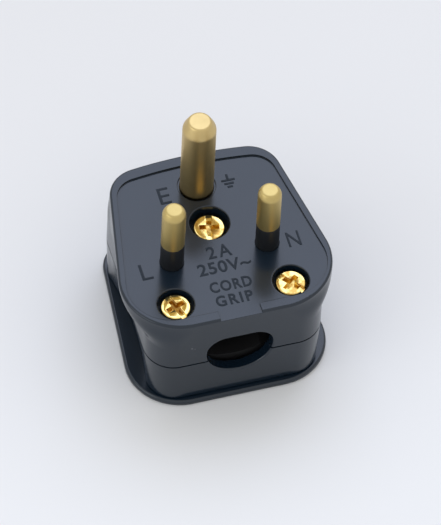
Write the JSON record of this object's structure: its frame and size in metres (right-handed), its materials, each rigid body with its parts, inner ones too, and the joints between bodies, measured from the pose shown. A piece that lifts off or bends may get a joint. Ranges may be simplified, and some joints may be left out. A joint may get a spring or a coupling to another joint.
{
  "type": "plug top",
  "caption": "Small rewirable round-pin mains plug: black two-part moulded body, brass pins with part sleeves, sunk brass screws and an open cord entry.",
  "frame": {"origin": "under the middle of the plug, on the surface that its back lies on", "axes": "+Z along the pins, away from the body; +X from the line pin to the neutral pin; +Y from the cord entry to the earth pin"},
  "size_m": [0.0324, 0.0316, 0.0348],
  "materials": {
    "moulded_black": "semi-gloss moulded",
    "sleeve_black": "satin",
    "pin_brass": "turned, satin",
    "screw_brass": "bright plated",
    "grip_fibre": "plain"
  },
  "bodies": {
    "root": {"base": "moulded_black", "cover": "moulded_black", "cord_grip_bar": "grip_fibre", "line_pin": "pin_brass", "neutral_pin": "pin_brass", "earth_pin": "pin_brass", "line_sleeve": "sleeve_black", "neutral_sleeve": "sleeve_black", "cover_screw": "screw_brass", "cover_insert": "pin_brass", "line_terminal_screw": "screw_brass", "neutral_terminal_screw": "screw_brass", "earth_terminal_screw": "screw_brass", "grip_screw_left": "screw_brass", "grip_screw_right": "screw_brass", "grip_insert_left": "pin_brass", "grip_insert_right": "pin_brass"}
  },
  "joints": []
}
